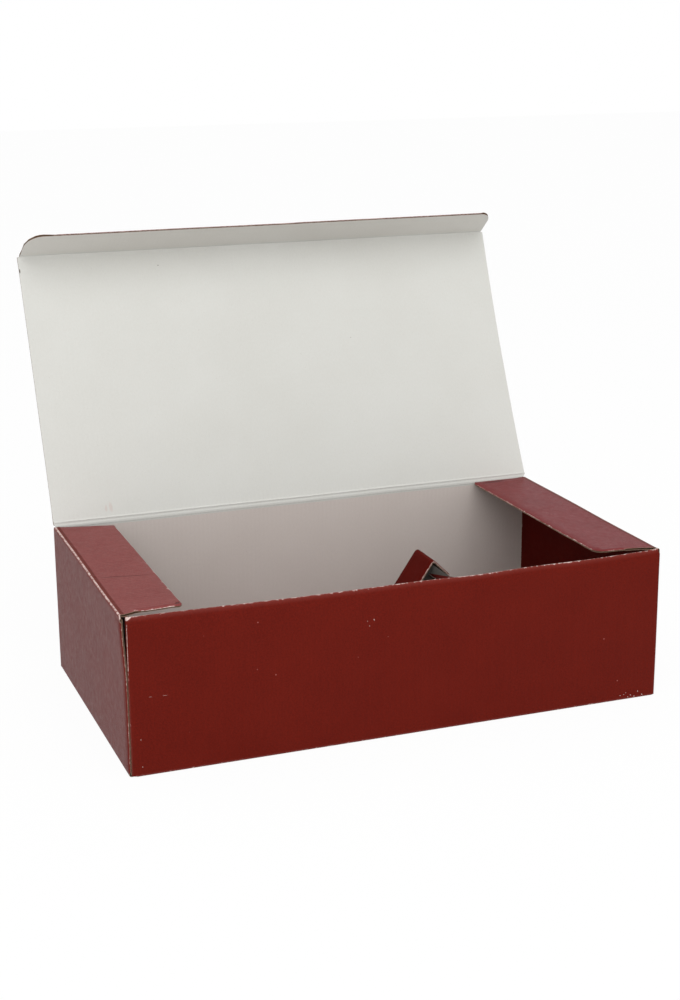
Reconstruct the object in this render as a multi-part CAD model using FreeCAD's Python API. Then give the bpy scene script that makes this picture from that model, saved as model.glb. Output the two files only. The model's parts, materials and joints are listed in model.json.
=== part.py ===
import FreeCAD, Part
import math
import os

# A shipping box for two bottles, folded from fine corrugated board and standing open.
# X runs along the length, +Y to the back where the lid hinges, +Z up.
# The origin is the middle of the box's underside. All sizes are in millimetres.

# Outer box
box_length = 370.0
box_width = 204.8
box_height = 105.3            # underside to the folds on top of the end walls
board = 1.6                   # thickness of the outer box's board
fold_radius = 1.6             # outside radius of the upright folds
base_fold_radius = 1.2        # outside radius of the folds round the bottom
seam_gap = 0.6                # slit between the two long bottom flaps

# Glued corner at the front left: the front wall turns in behind the end wall's raw edge
corner_bend_radius = 2.2
corner_gap = 0.5              # dark gap between the raw edge and the bend
corner_gap_depth = 2.0
glue_flap_width = 32.0
glue_flap_chamfer = 6.0
raw_edge_setback = 2.0        # from the front face to the end wall's raw edge

# Creases that move
crease_clear = 1.4            # from a crease's axis to where its moving panel starts
stack_gap = 0.25              # air between the closed lid and the panels under it

# Lid and tuck flap
lid_depth = 198.6             # from the lid's crease to the tuck flap's crease
lid_side_gap = 0.2            # each side, inside the box's length
lid_open = 115.25             # degrees from closed, as it stands
tuck_depth = 36.5
tuck_side_gap = 0.4           # each side, inside the end walls
tuck_fold = 86.0              # degrees from the lid's plane, as it stands
tuck_corner_across = 12.0
tuck_corner_along = 18.0
tuck_room = 4.0               # spare room round the tuck flap once it is pushed in

# Dust flaps, measured from the outside of the end wall
left_flap_length = 41.0
right_flap_length = 45.0
flap_back_gap = 1.4           # to the inside of the back wall
flap_front_setback = 8.0      # to the inside of the front wall
left_flap_taper = 9.6         # how much its back edge slants in over its length
left_front_corner = 5.5
left_back_corner = 1.5
right_front_corner = 12.0
right_back_corner = 3.0

# Liner sheet inside: a floor with an upright panel at each end
inner_board = 1.5             # thickness of the liner's and the divider's board
inner_bend = 0.8              # inside radius of their folds
rest_gap = 0.1                # air under and beside what only rests
liner_side_gap = 2.8          # each long side, inside the walls
liner_end_gap = 0.3
liner_top_gap = 2.0           # under the dust flaps
tuck_notch = 6.5              # taken off the end panels' front edges for the tuck flap

# Divider: one narrow strip folded into a ridge, with a ramp whose end passes under it
divider_width = 30.0
ridge_x = 56.5
ridge_rise = 80.6             # above the strip's run along the floor
ridge_left_slope = 55.5       # degrees
lip_slope = 44.3
lip_length = 17.5
ramp_tip_x = 65.3
ramp_tip_rise = 61.1
ramp_slope = 15.5
ramp_length = 56.8
ramp_foot_x = 137.0

half_length = box_length / 2
half_width = box_width / 2
inner_x = half_length - board
inner_y = half_width - board
half_board = board / 2
flap_axis_x = half_length - half_board
flap_axis_z = box_height - half_board
lid_axis_y = half_width - half_board
lid_axis_z = box_height + stack_gap + half_board
tuck_half_width = inner_x - tuck_side_gap
closed_tuck_foot = lid_axis_z - tuck_depth - tuck_room
inner_floor = 2 * board
bend_end_y = half_width - corner_bend_radius


def block(x_low, x_high, y_low, y_high, z_low, z_high):
    corner = FreeCAD.Vector(x_low, y_low, z_low)
    return Part.makeBox(x_high - x_low, y_high - y_low, z_high - z_low, corner)


def unit(start, end):
    step = end.sub(start)
    return step.multiply(1.0 / step.Length)


def rounded_face(corners):
    """A flat face in XY from corners (u, v, setback before, setback after), sharp where both are 0."""
    points = [FreeCAD.Vector(u, v, 0) for u, v, before, after in corners]
    count = len(points)
    edges = []
    for index in range(count):
        u, v, before, after = corners[index]
        point = points[index]
        going_in = unit(points[index - 1], point)
        going_out = unit(point, points[(index + 1) % count])
        start = point.sub(going_in * before)
        end = point.add(going_out * after)
        if before > 0:
            turn = going_in.getAngle(going_out)
            pull = 4.0 / 3.0 * math.tan(turn / 4) / math.tan(turn / 2)
            curve = Part.BezierCurve()
            handle_in = start.add(going_in * (before * pull))
            handle_out = end.sub(going_out * (after * pull))
            curve.setPoles([start, handle_in, handle_out, end])
            edges.append(curve.toShape())
        next_before = corners[(index + 1) % count][2]
        next_start = points[(index + 1) % count].sub(going_out * next_before)
        edges.append(Part.LineSegment(end, next_start).toShape())
    return Part.Face(Part.Wire(edges))


def panel(corners):
    """A board panel lying in XY, half its thickness each side of it."""
    face = rounded_face(corners)
    face.translate(FreeCAD.Vector(0, 0, -half_board))
    return face.extrude(FreeCAD.Vector(0, 0, board))


def folded_strip(points, thickness, y_low, y_high):
    """A strip of board along (x, z) points, folded at each inner one, running from y_low to y_high."""
    half = thickness / 2
    line = [FreeCAD.Vector(x, z, 0) for x, z in points]
    left, right = [], []
    for index, point in enumerate(line):
        before = unit(line[max(index - 1, 0)], line[max(index, 1)])
        after = unit(line[min(index, len(line) - 2)], line[min(index + 1, len(line) - 1)])
        turn = before.getAngle(after)
        turns_left = before.x * after.y - before.y * after.x > 0
        middle = unit(FreeCAD.Vector(0, 0, 0), before.add(after))
        side = FreeCAD.Vector(-middle.y, middle.x, 0) * (half / math.cos(turn / 2))
        wide = (inner_bend + thickness) * math.tan(turn / 2)
        tight = inner_bend * math.tan(turn / 2)
        at_left = point.add(side)
        at_right = point.sub(side)
        left_setback = tight if turns_left else wide
        right_setback = wide if turns_left else tight
        left.append((at_left.x, at_left.y, left_setback, left_setback))
        right.append((at_right.x, at_right.y, right_setback, right_setback))
    face = rounded_face(left + right[::-1])
    solid = face.extrude(FreeCAD.Vector(0, 0, y_high - y_low))
    solid.rotate(FreeCAD.Vector(0, 0, 0), FreeCAD.Vector(1, 0, 0), 90)
    solid.translate(FreeCAD.Vector(0, y_high, 0))
    return solid


def place(solid, axis, degrees, x, y, z):
    solid.rotate(FreeCAD.Vector(0, 0, 0), axis, degrees)
    solid.translate(FreeCAD.Vector(x, y, z))
    return solid


def bead(x, y, z, direction, length):
    """The rounded ridge that the board makes along a crease."""
    return Part.makeCylinder(half_board, length, FreeCAD.Vector(x, y, z), direction)


def outer_shell():
    """The outside of the folded sheet in plan, with the glued corner's step at the front left."""
    raw_edge_y = -half_width + raw_edge_setback
    corners = [
        (-inner_x, -half_width, corner_bend_radius, corner_bend_radius),
        (half_length, -half_width, fold_radius, fold_radius),
        (half_length, half_width, fold_radius, fold_radius),
        (-half_length, half_width, fold_radius, fold_radius),
        (-half_length, raw_edge_y + corner_bend_radius, 0, 0),
        (-inner_x, raw_edge_y + corner_bend_radius, 0, 0),
    ]
    shell = rounded_face(corners).extrude(FreeCAD.Vector(0, 0, box_height))
    long_edges = []
    for edge in shell.Edges:
        box = edge.BoundBox
        at_bottom = box.ZMax < 0.001
        if at_bottom and max(box.XLength, box.YLength) > box_width / 2:
            long_edges.append(edge)
    shell = shell.makeFillet(base_fold_radius, long_edges)
    raw_strip = block(-half_length, -inner_x, raw_edge_y, raw_edge_y + corner_bend_radius,
                      base_fold_radius, box_height)
    return shell.fuse(raw_strip)


def corner_bend():
    """The front wall's quarter turn at the glued corner, a board thick."""
    center_x = -inner_x + corner_bend_radius
    center_y = -bend_end_y
    bend = outer_shell().common(block(-inner_x, center_x, -half_width, center_y, 0, box_height))
    inside = Part.makeCylinder(corner_bend_radius - board, box_height, FreeCAD.Vector(center_x, center_y, 0))
    return bend.cut(inside)


def glue_flap():
    """The front wall's glue flap inside the left end wall, cut low at the top to let the tuck flap in."""
    y_low = -bend_end_y
    z_low = inner_floor
    corners = [
        (y_low, z_low, 0, 0),
        (y_low + glue_flap_width, z_low + glue_flap_chamfer, 0, 0),
        (y_low + glue_flap_width, closed_tuck_foot - glue_flap_chamfer, 0, 0),
        (y_low, closed_tuck_foot, 0, 0),
    ]
    flap = rounded_face(corners).extrude(FreeCAD.Vector(0, 0, board))
    flap.rotate(FreeCAD.Vector(0, 0, 0), FreeCAD.Vector(1, 1, 1), 120)
    flap.translate(FreeCAD.Vector(-inner_x, 0, 0))
    return flap


def box_body():
    """Four walls, glue flap and bottom: every panel of the outer sheet that stays put."""
    body = outer_shell()
    body = body.cut(block(-inner_x, inner_x, -inner_y, inner_y, board, box_height))
    body = body.fuse(corner_bend())
    body = body.fuse(glue_flap())

    # Short bottom flaps lie inside the long ones
    for side in (-1, 1):
        outer_end = side * inner_x
        inner_end = side * (half_length - right_flap_length)
        low, high = min(outer_end, inner_end), max(outer_end, inner_end)
        body = body.fuse(block(low, high, -bend_end_y, bend_end_y, board, inner_floor))

    # Slit where the long bottom flaps meet, in the outer layer only
    seam_end = half_length - 2 * base_fold_radius
    body = body.cut(block(-seam_end, seam_end, -seam_gap / 2, seam_gap / 2, 0, board))

    # Open gap beside the glued corner
    gap_back = corner_gap_depth - bend_end_y
    body = body.cut(block(-inner_x - corner_gap, -inner_x, -half_width, gap_back, inner_floor, box_height))

    # Round tops of the end walls, where the dust flaps fold
    along_y = FreeCAD.Vector(0, 1, 0)
    front_end = -half_width + raw_edge_setback
    body = body.cut(block(-half_length, -inner_x, front_end, half_width, flap_axis_z, box_height))
    body = body.cut(block(inner_x, half_length, -inner_y, half_width, flap_axis_z, box_height))
    body = body.fuse(bead(-flap_axis_x, front_end, flap_axis_z, along_y, inner_y - front_end))
    body = body.fuse(bead(flap_axis_x, -inner_y, flap_axis_z, along_y, 2 * inner_y))

    # The back wall stands a board higher, so that the lid closes on top of the dust flaps
    lid_end = half_length - fold_radius
    body = body.fuse(block(-lid_end, lid_end, inner_y, half_width, flap_axis_z, lid_axis_z))
    along_x = FreeCAD.Vector(1, 0, 0)
    body = body.fuse(bead(-lid_end, lid_axis_y, lid_axis_z, along_x, 2 * lid_end))
    return body.removeSplitter()


def lid():
    """The lid panel, with the round edge where the tuck flap folds."""
    half = half_length - lid_side_gap
    corners = [
        (-half, crease_clear, 0, 0),
        (half, crease_clear, 0, 0),
        (half, lid_depth, 0, 0),
        (-half, lid_depth, 0, 0),
    ]
    along_x = FreeCAD.Vector(1, 0, 0)
    solid = panel(corners).fuse(bead(-tuck_half_width, lid_depth, 0, along_x, 2 * tuck_half_width))
    return place(solid, along_x, 180 - lid_open, 0, lid_axis_y, lid_axis_z)


def tuck_flap():
    """The flap on the lid's free edge, with its large rounded corners."""
    across, along = tuck_corner_across, tuck_corner_along
    corners = [
        (-tuck_half_width, crease_clear, 0, 0),
        (tuck_half_width, crease_clear, 0, 0),
        (tuck_half_width, tuck_depth, along, across),
        (-tuck_half_width, tuck_depth, across, along),
    ]
    lean = math.radians(lid_open)
    crease_y = lid_axis_y - lid_depth * math.cos(lean)
    crease_z = lid_axis_z + lid_depth * math.sin(lean)
    along_x = FreeCAD.Vector(1, 0, 0)
    return place(panel(corners), along_x, 180 - lid_open + tuck_fold, 0, crease_y, crease_z)


def dust_flap_left():
    """Its back edge slants in towards the free edge; u runs to the front here."""
    reach = left_flap_length - half_board
    back = -(inner_y - flap_back_gap)
    front = inner_y - flap_front_setback
    corners = [
        (back, crease_clear, 0, 0),
        (front, crease_clear, 0, 0),
        (front, reach, left_front_corner, left_front_corner),
        (back + left_flap_taper, reach, left_back_corner, left_back_corner),
    ]
    return place(panel(corners), FreeCAD.Vector(0, 0, 1), -90, -flap_axis_x, 0, flap_axis_z)


def dust_flap_right():
    """Squarer than the left one, with a large round front corner; u runs to the back here."""
    reach = right_flap_length - half_board
    back = inner_y - flap_back_gap
    front = -(inner_y - flap_front_setback)
    corners = [
        (front, crease_clear, 0, 0),
        (back, crease_clear, 0, 0),
        (back, reach, right_back_corner, right_back_corner),
        (front, reach, right_front_corner, right_front_corner),
    ]
    return place(panel(corners), FreeCAD.Vector(0, 0, 1), 90, flap_axis_x, 0, flap_axis_z)


def bottle_liner():
    """A U-shaped sheet: floor and two end panels, notched in front for the tuck flap."""
    half = inner_board / 2
    left_x = -inner_x + board + liner_end_gap + half
    right_x = inner_x - liner_end_gap - half
    floor_z = inner_floor + rest_gap + half
    top_z = flap_axis_z - half_board - liner_top_gap
    side = inner_y - liner_side_gap
    points = [(left_x, top_z), (left_x, floor_z), (right_x, floor_z), (right_x, top_z)]
    sheet = folded_strip(points, inner_board, -side, side)
    notch = block(-inner_x, inner_x, -side, -side + tuck_notch, closed_tuck_foot, top_z)
    return sheet.cut(notch)


def bottle_divider():
    """The strip between the bottles: up to the ridge, over it, and back under it with the ramp."""
    floor_z = inner_floor + 2 * rest_gap + 1.5 * inner_board
    ridge_z = floor_z + ridge_rise
    left_foot_x = ridge_x - ridge_rise / math.tan(math.radians(ridge_left_slope))
    lip = math.radians(lip_slope)
    ramp = math.radians(ramp_slope)
    ramp_tip_z = floor_z + ramp_tip_rise
    points = [
        (ridge_x + lip_length * math.cos(lip), ridge_z - lip_length * math.sin(lip)),
        (ridge_x, ridge_z),
        (left_foot_x, floor_z),
        (ramp_foot_x, floor_z),
        (ramp_tip_x + ramp_length * math.cos(ramp), ramp_tip_z - ramp_length * math.sin(ramp)),
        (ramp_tip_x, ramp_tip_z),
    ]
    return folded_strip(points, inner_board, -divider_width / 2, divider_width / 2)


pieces = {
    "box_body": box_body,
    "lid": lid,
    "tuck_flap": tuck_flap,
    "dust_flap_left": dust_flap_left,
    "dust_flap_right": dust_flap_right,
    "bottle_liner": bottle_liner,
    "bottle_divider": bottle_divider,
}

os.makedirs("parts", exist_ok=True)
for name, make in pieces.items():
    shape = make()
    solids = shape.Solids
    if len(solids) == 1:
        shape = solids[0]
    print(name, "solids", len(solids), "valid", shape.isValid(), "volume", round(shape.Volume, 1))
    shape.exportStep("parts/" + name + ".step")
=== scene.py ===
import json
import math

import bmesh
import bpy
from mathutils import Matrix, Vector, noise


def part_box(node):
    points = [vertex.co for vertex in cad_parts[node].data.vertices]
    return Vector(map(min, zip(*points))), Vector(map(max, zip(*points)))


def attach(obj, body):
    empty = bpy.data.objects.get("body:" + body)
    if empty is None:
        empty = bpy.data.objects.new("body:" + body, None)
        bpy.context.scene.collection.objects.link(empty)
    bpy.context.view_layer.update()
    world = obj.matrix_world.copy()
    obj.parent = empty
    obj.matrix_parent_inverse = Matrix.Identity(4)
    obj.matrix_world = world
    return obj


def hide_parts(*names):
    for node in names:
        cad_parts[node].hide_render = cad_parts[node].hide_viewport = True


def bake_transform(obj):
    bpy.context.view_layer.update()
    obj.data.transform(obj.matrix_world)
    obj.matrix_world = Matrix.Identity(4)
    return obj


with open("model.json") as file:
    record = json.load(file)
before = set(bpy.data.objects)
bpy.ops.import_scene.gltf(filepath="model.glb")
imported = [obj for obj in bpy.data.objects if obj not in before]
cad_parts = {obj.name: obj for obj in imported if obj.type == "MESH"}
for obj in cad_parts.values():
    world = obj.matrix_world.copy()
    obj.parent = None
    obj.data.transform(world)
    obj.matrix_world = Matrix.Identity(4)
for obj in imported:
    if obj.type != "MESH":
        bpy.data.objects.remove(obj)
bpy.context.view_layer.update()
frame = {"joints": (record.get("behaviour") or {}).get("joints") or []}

# Everything below is worked out in millimetres and scaled to metres when a piece is finished.
# A sheet of board is laid flat first: u and v run over the sheet, w is through it, printed side up.
toMetres = 0.001
axisX, axisY, axisZ = Vector((1, 0, 0)), Vector((0, 1, 0)), Vector((0, 0, 1))


def jointAt(name):
    joint = next(j for j in frame["joints"] if j["name"] == name)
    return Vector(joint["pos_m"]) / toMetres, joint["range_deg"]


lidAxis = jointAt("lid_hinge")[0]
tuckAxis, tuckRange = jointAt("tuck_flap_hinge")
rightFlapAxis = jointAt("dust_flap_right_hinge")[0]

board = {
    "thickness": 1.6,
    "insertThickness": 1.5,
    "skin": 0.27,  # paper on each face
    "edgeRing": 0.45,  # extra cuts beside every edge, for the wear there
    "coreInset": 1.1,  # how far the middle stands back from a cut edge
    "fluteInset": 0.1,  # and the wave, a little
    "flutePitch": 3.3,
    "fluteSteps": 8,  # faces along one wave
    "mediumThickness": 0.17,
    "crush": 0.5,  # share of the thickness lost at a cut edge
    "crushPower": 1.7,
    "grid": 8.0,  # cuts across the panels
    "bendSteps": 6,
    "roundSteps": 7,
    "insertRadius": 1.55,
    "foldRadius": 0.85,  # to the middle of the board
    "sharpAngle": 40.0,
    "pieceStep": 10.0,  # the sheet's w also carries the piece's number, this far apart
    "markDepth": 4.0,  # so that a mark stays on its own piece
    "creaseReach": 3.0,  # from a crease's axis to where its panel starts
}
half = board["thickness"] / 2
endX = rightFlapAxis.x  # middle of the end walls' board
sideY = lidAxis.y  # middle of the long walls' board
flapZ = rightFlapAxis.z
lidDirection = (tuckAxis - lidAxis).normalized()
lidDepth = (tuckAxis - lidAxis).length
lidNormal = Vector((0, lidDirection.z, -lidDirection.y))
tuckFold = math.radians(-tuckRange[0])
tuckDirection = lidDirection * math.cos(tuckFold) - lidNormal * math.sin(tuckFold)
tuckNormal = lidDirection * math.sin(tuckFold) + lidNormal * math.cos(tuckFold)
print("sizes read from the frame")


# Materials

palette = {
    "printedInk": (0.124, 0.0074, 0.0030),
    "printedDeep": (0.108, 0.0060, 0.0024),
    # The flap inks are lighter, pinker copies of the printed ink: painted sheen on the flap tops, painted
    # stronger on the left flap
    "leftFlapInk": (0.230, 0.056, 0.054),
    "leftFlapDeep": (0.198, 0.043, 0.041),
    "rightFlapInk": (0.184, 0.028, 0.031),
    "rightFlapDeep": (0.158, 0.022, 0.024),
    "fold": (0.030, 0.003, 0.002),
    "insertInk": (0.098, 0.0050, 0.0026),
    "insertDeep": (0.076, 0.0034, 0.0018),
    "worn": (0.66, 0.50, 0.46),
    "scuff": (0.33, 0.10, 0.085),
    "linerPaper": (0.634, 0.634, 0.601),
    "linerFibre": (0.596, 0.592, 0.554),
    # The walls' inner paper is a warmer copy of the liner paper, set to the tone of the shaded inside of
    # the box: painted shade and tint
    "wallPaper": (0.650, 0.590, 0.550),
    "wallFibre": (0.610, 0.548, 0.506),
    # The tuck flap's paper is a lighter copy of the liner paper: painted light on its downward face
    "tuckPaper": (0.655, 0.645, 0.605),
    "tuckFibre": (0.615, 0.602, 0.560),
    # The inner board's reverse is pale grey, painted dark grey here: painted shade in the divider's hollow
    "insertPaper": (0.100, 0.092, 0.080),
    "insertFibre": (0.070, 0.062, 0.052),
    # The cheek's paper is darker still: painted shade under the divider's lip
    "cheekPaper": (0.150, 0.150, 0.138),
    "cheekFibre": (0.115, 0.112, 0.100),
    "paleStain": (0.56, 0.44, 0.40),
    "kraft": (0.22, 0.13, 0.075),
    # kraftDark: dark specks in the paper, and painted shade in the board's core
    "kraftDark": (0.050, 0.028, 0.017),
    "paperEdge": (0.36, 0.25, 0.19),
}


def newMaterial(name):
    material = bpy.data.materials.new(name)
    material.use_nodes = True
    material.node_tree.nodes.clear()
    return material, material.node_tree


def addNode(tree, kind, inputs=None, **settings):
    node = tree.nodes.new(kind)
    for key, value in settings.items():
        setattr(node, key, value)
    for key, value in (inputs or {}).items():
        if isinstance(value, bpy.types.NodeSocket):
            tree.links.new(value, node.inputs[key])
        else:
            node.inputs[key].default_value = value
    return node


def calculate(tree, operation, first, second=0.0, clamp=False):
    node = addNode(tree, "ShaderNodeMath", {0: first, 1: second}, operation=operation, use_clamp=clamp)
    return node.outputs[0]


def mixColor(tree, amount, first, second, blend="MIX"):
    node = addNode(tree, "ShaderNodeMix", data_type="RGBA", blend_type=blend)
    for index, value in ((0, amount), (6, first), (7, second)):
        if isinstance(value, bpy.types.NodeSocket):
            tree.links.new(value, node.inputs[index])
        elif index == 0:
            node.inputs[index].default_value = value
        else:
            node.inputs[index].default_value = (*value, 1.0)
    return node.outputs[2]


def spread(tree, value, low, high, toLow=0.0, toHigh=1.0):
    node = addNode(tree, "ShaderNodeMapRange", {0: value, 1: low, 2: high, 3: toLow, 4: toHigh})
    return node.outputs[0]


def cloud(tree, vector, scale, detail=2.0, roughness=0.5):
    node = addNode(tree, "ShaderNodeTexNoise", {"Vector": vector, "Scale": scale, "Detail": detail,
                                                "Roughness": roughness})
    return node.outputs["Fac"]


def weighted(tree, *terms):
    # The sum of the terms, each a value and its weight
    total = 0.0
    for value, weight in terms:
        total = calculate(tree, "ADD", total, calculate(tree, "MULTIPLY", value, weight))
    return total


def stretched(tree, vector, scale):
    node = addNode(tree, "ShaderNodeMapping", {"Vector": vector, "Scale": scale})
    return node.outputs[0]


def ripple(tree, distance, pitch):
    turns = calculate(tree, "MULTIPLY", distance, 2 * math.pi / pitch)
    return calculate(tree, "SINE", turns)


def sheetPlace(tree):
    # Place on the flat sheet in millimetres, kept on every vertex
    node = addNode(tree, "ShaderNodeAttribute", attribute_name="sheet")
    parts = addNode(tree, "ShaderNodeSeparateXYZ", {0: node.outputs["Vector"]})
    return node.outputs["Vector"], parts.outputs[0], parts.outputs[1]


def boxPlace(tree):
    # Place in the box in millimetres, so that clouds run on over the folds
    node = addNode(tree, "ShaderNodeTexCoord")
    return stretched(tree, node.outputs["Object"], (1 / toMetres,) * 3)


wearGrain = {
    "base": 0.12,
    "coarse": 0.55,  # noise per millimetre
    "coarseShare": 0.75,
    "fine": 2.6,
    "fineShare": 0.25,
    "bareFrom": 1.0,
    "bareAt": 1.12,
}


def wearOn(tree):
    return addNode(tree, "ShaderNodeAttribute", attribute_name="wear").outputs["Fac"]


def wearMask(tree, place):
    # Paper shows where the wear and a rough grain together reach far enough
    coarse = cloud(tree, place, wearGrain["coarse"], 3.0, 0.65)
    fine = cloud(tree, place, wearGrain["fine"])
    total = weighted(tree, (coarse, wearGrain["coarseShare"]), (wearGrain["base"], 1.0),
                     (fine, wearGrain["fineShare"]), (wearOn(tree), 1.0))
    return spread(tree, total, wearGrain["bareFrom"], wearGrain["bareAt"])


def marksOn(tree, sheet, marks):
    # Single marks as (piece, u, v, half length, half width, turn), soft towards their rims
    total = 0.0
    rim, core = 1.0, 0.55
    for piece, u, v, halfLong, halfShort, turn in marks:
        node = addNode(tree, "ShaderNodeMapping", {
            "Vector": sheet,
            "Location": (u, v, board["pieceStep"] * piece),
            "Rotation": (0, 0, math.radians(turn)),
            "Scale": (halfLong, halfShort, board["markDepth"]),
        }, vector_type="TEXTURE")
        away = addNode(tree, "ShaderNodeVectorMath", {0: node.outputs[0]}, operation="LENGTH")
        total = calculate(tree, "MAXIMUM", spread(tree, away.outputs["Value"], rim, core), total)
    return total


def finishMaterial(tree, color, roughness, ior, height):
    bump = addNode(tree, "ShaderNodeBump", {"Height": height, "Distance": toMetres, "Strength": 1.0})
    shader = addNode(tree, "ShaderNodeBsdfPrincipled", {
        "Base Color": color, "Roughness": roughness, "IOR": ior, "Normal": bump.outputs[0]})
    addNode(tree, "ShaderNodeOutputMaterial", {0: shader.outputs[0]})


def printedMaterial(name, color, deepColor, look):
    material, tree = newMaterial(name)
    sheet, along, across = sheetPlace(tree)
    place = boxPlace(tree)
    patches = cloud(tree, place, look["patchScale"], 4.0, 0.6)
    streaks = cloud(tree, stretched(tree, sheet, look["streakScale"]), 1.0, 3.0)
    tone = weighted(tree, (patches, look["patchShare"]), (streaks, look["streakShare"]))
    ink = mixColor(tree, spread(tree, tone, 0.30, 0.70), deepColor, color)
    # Fine mottle in the ink
    flow = cloud(tree, place, look["mottleScale"], 4.0, 0.8)
    mottle = spread(tree, flow, 0.3, 0.7, 1.0 - look["mottle"], 1.0 + look["mottle"])
    gray = addNode(tree, "ShaderNodeCombineColor", {0: mottle, 1: mottle, 2: mottle}).outputs[0]
    ink = mixColor(tree, 1.0, ink, gray, "MULTIPLY")
    # Tiny rubbed spots, far apart
    dots = addNode(tree, "ShaderNodeTexVoronoi", {"Vector": place, "Scale": look["speckScale"]})
    chance = addNode(tree, "ShaderNodeSeparateColor", {0: dots.outputs["Color"]}).outputs[0]
    speck = calculate(tree, "MULTIPLY", spread(tree, dots.outputs["Distance"], *look["speckRim"]),
                      calculate(tree, "GREATER_THAN", chance, look["speckRarity"]))
    ink = mixColor(tree, speck, ink, palette["scuff"])
    # Lighter ink along the wear lines: rubbed ink, and painted sheen on the rounded edges
    rubAndSheen = spread(tree, wearOn(tree), *look["rubAndSheenWear"], 0.0, look["rubAndSheen"])
    ink = mixColor(tree, rubAndSheen, ink, palette["scuff"])
    # Bare paper, and painted shade in the dents and creases
    marks = calculate(tree, "MULTIPLY", marksOn(tree, sheet, look["marks"]), look["markStrength"])
    bare = calculate(tree, "MAXIMUM", wearMask(tree, place), marks, clamp=True)
    shade = mixColor(tree, bare, ink, palette["worn"])
    dents = marksOn(tree, sheet, look["dents"])
    shade = mixColor(tree, calculate(tree, "MULTIPLY", dents, look["dentShade"]), shade, palette["fold"])
    linen = calculate(tree, "MULTIPLY", ripple(tree, along, look["linenPitch"]),
                      ripple(tree, across, look["linenPitch"]))
    washboard = ripple(tree, along, board["flutePitch"])
    tooth = cloud(tree, place, look["toothScale"], 3.0)
    height = weighted(tree, (linen, look["linen"]), (washboard, look["washboard"]),
                      (tooth, look["tooth"]), (dents, -look["dentDepth"]))
    smooth, rough = look["roughness"]
    gloss = spread(tree, cloud(tree, place, look["glossScale"], 3.0), 0.3, 0.7, smooth, rough)
    gloss = weighted(tree, (gloss, 1.0), (bare, look["bareRoughness"]))
    finishMaterial(tree, shade, gloss, look["ior"], height)
    return material


def paleMaterial(name, color, fibreColor, look):
    material, tree = newMaterial(name)
    sheet, along, across = sheetPlace(tree)
    place = boxPlace(tree)
    fibres = cloud(tree, stretched(tree, sheet, look["fibreScale"]), 1.0, 4.0, 0.7)
    patches = cloud(tree, place, look["patchScale"], 3.0)
    tone = weighted(tree, (fibres, look["fibreShare"]), (patches, look["patchShare"]))
    paper = mixColor(tree, spread(tree, tone, 0.32, 0.66), fibreColor, color)
    grain = cloud(tree, stretched(tree, place, (1.0, 1.0, 0.5)), look["fleckScale"])
    flecks = spread(tree, grain, *look["fleckRim"], 0.0, look["fleckStrength"])
    paper = mixColor(tree, flecks, paper, palette["kraft"])
    stains = calculate(tree, "MULTIPLY", marksOn(tree, sheet, look["stains"]), look["stainStrength"])
    paper = mixColor(tree, stains, paper, palette["paleStain"])
    paper = mixColor(tree, marksOn(tree, sheet, look["specks"]), paper, palette["kraftDark"])
    washboard = ripple(tree, along, board["flutePitch"])
    tooth = cloud(tree, place, look["toothScale"], 4.0, 0.6)
    height = weighted(tree, (washboard, look["washboard"]), (tooth, look["tooth"]))
    finishMaterial(tree, paper, look["roughness"], look["ior"], height)
    return material


cutLook = {
    "tornScale": 1.1,
    "toothScale": 3.0,
    "tooth": 0.12,
    "roughness": 0.9,
    "ior": 1.3,
}


def cutMaterial(name, color, darkColor, amount):
    material, tree = newMaterial(name)
    place = boxPlace(tree)
    torn = cloud(tree, place, cutLook["tornScale"], 4.0, 0.7)
    shade = mixColor(tree, spread(tree, torn, 0.35, 0.65, 0.0, amount), color, darkColor)
    height = calculate(tree, "MULTIPLY", cloud(tree, place, cutLook["toothScale"], 3.0), cutLook["tooth"])
    finishMaterial(tree, shade, cutLook["roughness"], cutLook["ior"], height)
    return material


# The faces of a sheet, as places in its list of materials
printedFace, paleFace, cutFace, flutingFace, shadeFace = range(5)


# Folding: a line of straight runs and bends that a sheet's middle follows

def foldLine(corners):
    line = []
    start = Vector(corners[0][:2])
    travelled = 0.0
    for index in range(1, len(corners)):
        corner = Vector(corners[index][:2])
        direction = (corner - start).normalized()
        if index == len(corners) - 1:
            line.append(("run", travelled, (corner - start).length, start, direction))
            break
        following = (Vector(corners[index + 1][:2]) - corner).normalized()
        cross = direction.x * following.y - direction.y * following.x
        turn = math.atan2(cross, direction.dot(following))
        radius = corners[index][2]
        runEnd = corner - direction * (radius * math.tan(abs(turn) / 2))
        line.append(("run", travelled, (runEnd - start).length, start, direction))
        travelled += line[-1][2]
        line.append(("bend", travelled, radius * abs(turn), runEnd, direction, radius, turn))
        travelled += line[-1][2]
        start = corner + following * (radius * math.tan(abs(turn) / 2))
    return line


def lineLength(line):
    return line[-1][1] + line[-1][2]


def onLine(line, distance, height):
    # The point at a distance along the line, and a height to the left of it
    part = line[0]
    for candidate in line:
        if distance >= candidate[1]:
            part = candidate
    kind, begins, length, start, direction = part[:5]
    gone = distance - begins
    left = Vector((-direction.y, direction.x))
    if kind == "run":
        return start + direction * gone + left * height
    radius, turn = part[5:]
    side = math.copysign(1.0, turn)
    center = start + left * (side * radius)
    angle = turn * gone / length
    spoke = left * (-side * (radius - side * height))
    return center + Matrix.Rotation(angle, 2) @ spoke


def bendCuts(line):
    steps = board["bendSteps"]
    bends = [part for part in line if part[0] == "bend"]
    return [part[1] + part[2] * step / steps for part in bends for step in range(steps + 1)]


def evenCuts(low, high, spacing):
    count = max(1, round((high - low) / spacing))
    return [low + (high - low) * step / count for step in range(1, count)]


# Board: two papers, a dark brown core that stands back from the cut edges as painted shade between the
# flutes, and the wave seen there

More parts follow.
